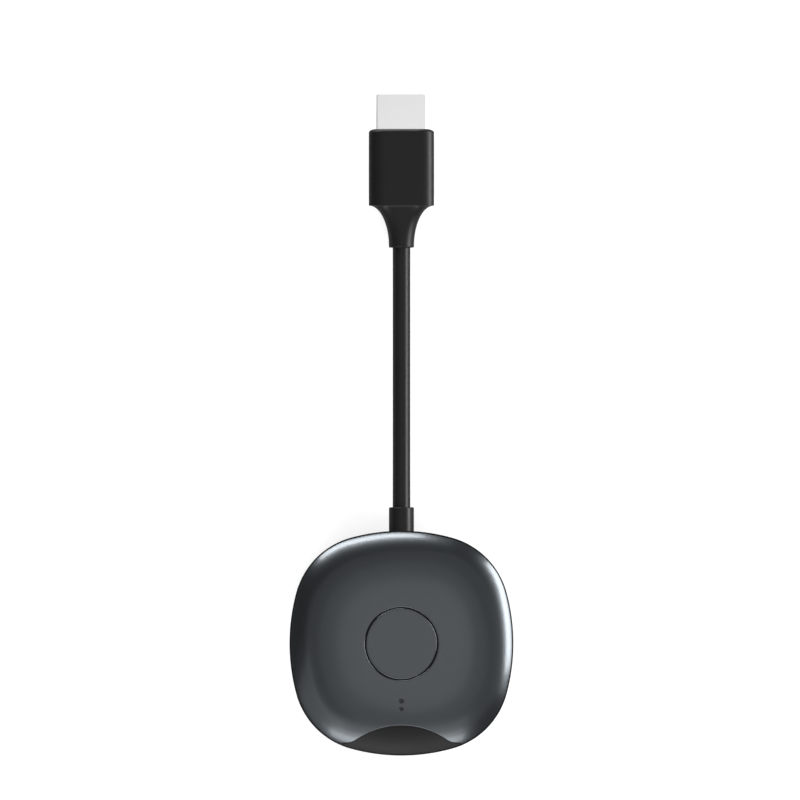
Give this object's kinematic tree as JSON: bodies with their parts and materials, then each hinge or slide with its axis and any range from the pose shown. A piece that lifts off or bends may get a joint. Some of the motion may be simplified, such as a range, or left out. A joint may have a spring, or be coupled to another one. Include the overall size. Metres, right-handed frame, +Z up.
{
  "type": "wireless display adapter",
  "caption": "Pillow-shaped wireless display receiver with a round push button, indicator lights, a power port and a short cable to its video plug.",
  "frame": {"origin": "middle of the receiver's underside, on the surface that it lies on, measured without the cable and plug", "axes": "+Z up out of the button, +Y along the cable to the plug, +X to the right when seen from above"},
  "size_m": [0.0622, 0.1838, 0.0126],
  "materials": {
    "cover_paint": "satin gunmetal paint with fine metallic flake",
    "black_plastic": "matt moulded black",
    "foot_rubber": "matt",
    "label_film": "bare satin film",
    "screw_steel": "black zinc",
    "guide_plastic": "moulded",
    "switch_plastic": "moulded",
    "tin_plate": "bright tin plate",
    "spring_steel": "polished",
    "smoked_lens": "smoked clear plastic",
    "lamp_resin": "clear resin",
    "board_laminate": "solder mask",
    "chip_epoxy": "fine matt",
    "thermal_silicone": "matt",
    "sink_aluminium": "black anodised",
    "coil_ferrite": "sintered",
    "capacitor_ceramic": "ceramic with tinned ends",
    "capacitor_resin": "moulded resin",
    "port_steel": "nickel plate",
    "port_plastic": "moulded",
    "contact_gold": "gold plate",
    "antenna_flex": "flexible circuit",
    "lead_jacket": "thin jacket",
    "cable_vinyl": "satin black",
    "clamp_steel": "zinc plate",
    "wire_insulation": "thin insulation",
    "plug_vinyl": "satin black",
    "plug_steel": "nickel plate, plain",
    "mould_plastic": "milky"
  },
  "bodies": {
    "casing": {"top_cover": "cover_paint", "lower_tray": "black_plastic", "rubber_foot": "foot_rubber", "rating_label": "label_film", "casing_screws": "screw_steel", "button_guide": "guide_plastic", "switch_base": "switch_plastic", "switch_plate": "tin_plate", "switch_dome": "spring_steel", "light_guide": "smoked_lens", "indicator_lamps": "lamp_resin", "main_board": "board_laminate", "board_screws": "screw_steel", "processor": "chip_epoxy", "thermal_pad": "thermal_silicone", "heat_sink": "sink_aluminium", "radio_board": "board_laminate", "radio_cover": "tin_plate", "radio_chip": "chip_epoxy", "memory_chip": "chip_epoxy", "flash_chip": "chip_epoxy", "processor_crystal": "tin_plate", "power_regulator": "chip_epoxy", "power_inductors": "coil_ferrite", "board_capacitors": "capacitor_ceramic", "bulk_capacitor": "capacitor_resin", "power_port_shell": "port_steel", "power_port_core": "port_plastic", "power_port_contacts": "contact_gold", "left_antenna": "antenna_flex", "right_antenna": "antenna_flex", "left_antenna_lead": "lead_jacket", "right_antenna_lead": "lead_jacket", "antenna_connectors": "contact_gold", "cable_jacket": "cable_vinyl", "strain_relief": "cable_vinyl", "cable_clamp": "clamp_steel", "clamp_screws": "screw_steel", "board_wires": "wire_insulation", "plug_overmould": "plug_vinyl", "cable_ferrule": "port_steel", "plug_metal_shell": "plug_steel", "upper_shield_half": "tin_plate", "lower_shield_half": "tin_plate", "plug_core": "port_plastic", "plug_contacts": "contact_gold", "plug_wires": "wire_insulation", "wire_mould": "mould_plastic"},
    "button": {"button_cap": "cover_paint"},
    "switch_stem": {"switch_plunger": "switch_plastic"}
  },
  "joints": [
    {"name": "button_press", "type": "slide", "parent": "casing", "child": "button", "axis": [0, 0, -1], "range_m": [0, 0.0003], "stiffness_N_per_m": 2000, "springref_m": -0.0003},
    {"name": "switch_press", "type": "slide", "parent": "casing", "child": "switch_stem", "axis": [0, 0, -1], "range_m": [0, 0.0003], "deforming": ["switch_dome"]}
  ],
  "couplings": [
    {"joint": "switch_press", "follows": "button_press", "ratio": 1}
  ]
}
